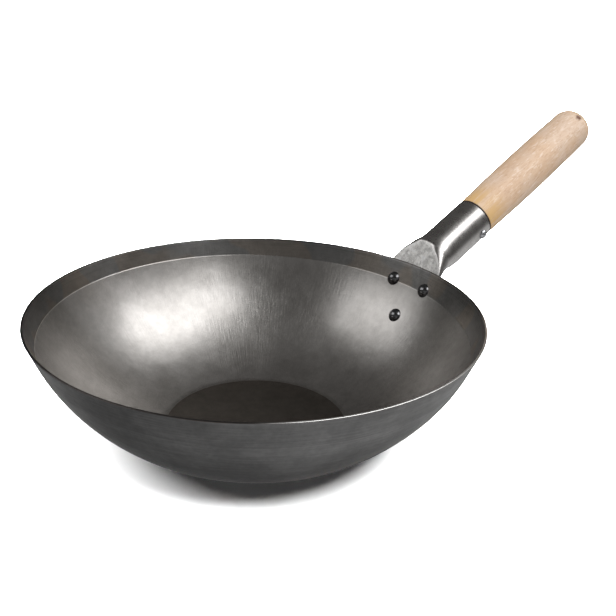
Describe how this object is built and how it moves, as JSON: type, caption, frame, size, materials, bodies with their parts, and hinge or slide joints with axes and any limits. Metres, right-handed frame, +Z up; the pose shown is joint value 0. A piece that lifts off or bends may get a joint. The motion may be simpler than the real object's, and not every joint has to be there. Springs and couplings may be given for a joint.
{
  "type": "wok",
  "caption": "Flat-base carbon steel wok with a riveted, flattened tube socket and a turned wooden grip.",
  "frame": {"origin": "centre of the flat base's underside, where the wok rests", "axes": "+Z up, out of the bowl's mouth; +X from the bowl towards the handle; +Y to the left of the handle"},
  "size_m": [0.5776, 0.3556, 0.2265],
  "materials": {
    "bare_steel": "satin",
    "polished_steel": "polished",
    "dark_steel": "glossy",
    "pale_wood": "satin",
    "screw_steel": "glossy"
  },
  "bodies": {
    "root": {"bowl": "bare_steel", "handle_socket": "polished_steel", "rivets": "dark_steel", "wood_grip": "pale_wood", "grip_screw": "screw_steel"}
  },
  "joints": []
}
